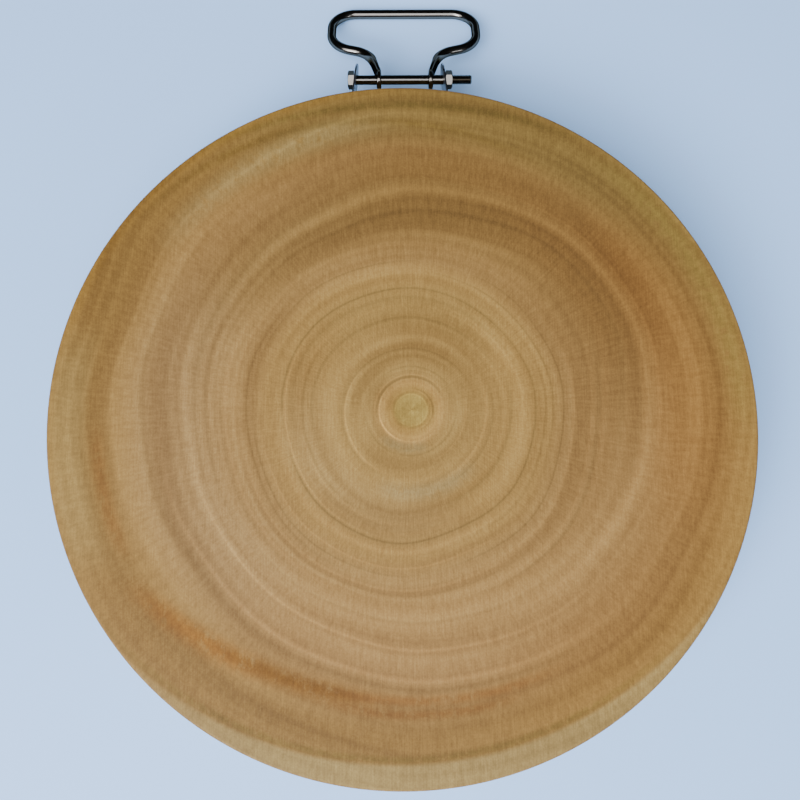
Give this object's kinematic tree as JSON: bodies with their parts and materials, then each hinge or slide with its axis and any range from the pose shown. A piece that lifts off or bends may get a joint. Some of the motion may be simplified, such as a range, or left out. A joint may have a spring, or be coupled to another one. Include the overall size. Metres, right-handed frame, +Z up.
{
  "type": "round chopping block",
  "caption": "Round end-grain wooden chopping block with a clamped steel hoop round the rim and a bent-rod handle that swings on the clamp bolt.",
  "frame": {"origin": "centre of the block's flat underside", "axes": "+Z up through the block, +Y from the block's centre to the handle, +X along the clamp bolt towards its nut"},
  "size_m": [0.402, 0.4925, 0.06],
  "materials": {
    "wood": "sawn and sanded end grain, unvarnished",
    "strip_steel": "rolled stainless strip",
    "fastener_steel": "bright polished",
    "rod_steel": "bright polished"
  },
  "bodies": {
    "block_and_hoop": {"block": "wood", "hoop": "strip_steel", "clamp_bolt": "fastener_steel", "clamp_nut": "fastener_steel"},
    "handle": {"handle": "rod_steel"}
  },
  "joints": [
    {"name": "handle_swing", "type": "hinge", "parent": "block_and_hoop", "child": "handle", "pos_m": [0.0033, 0.2226, 0.03], "axis": [1, 0, 0], "range_deg": [-106, 150]}
  ]
}
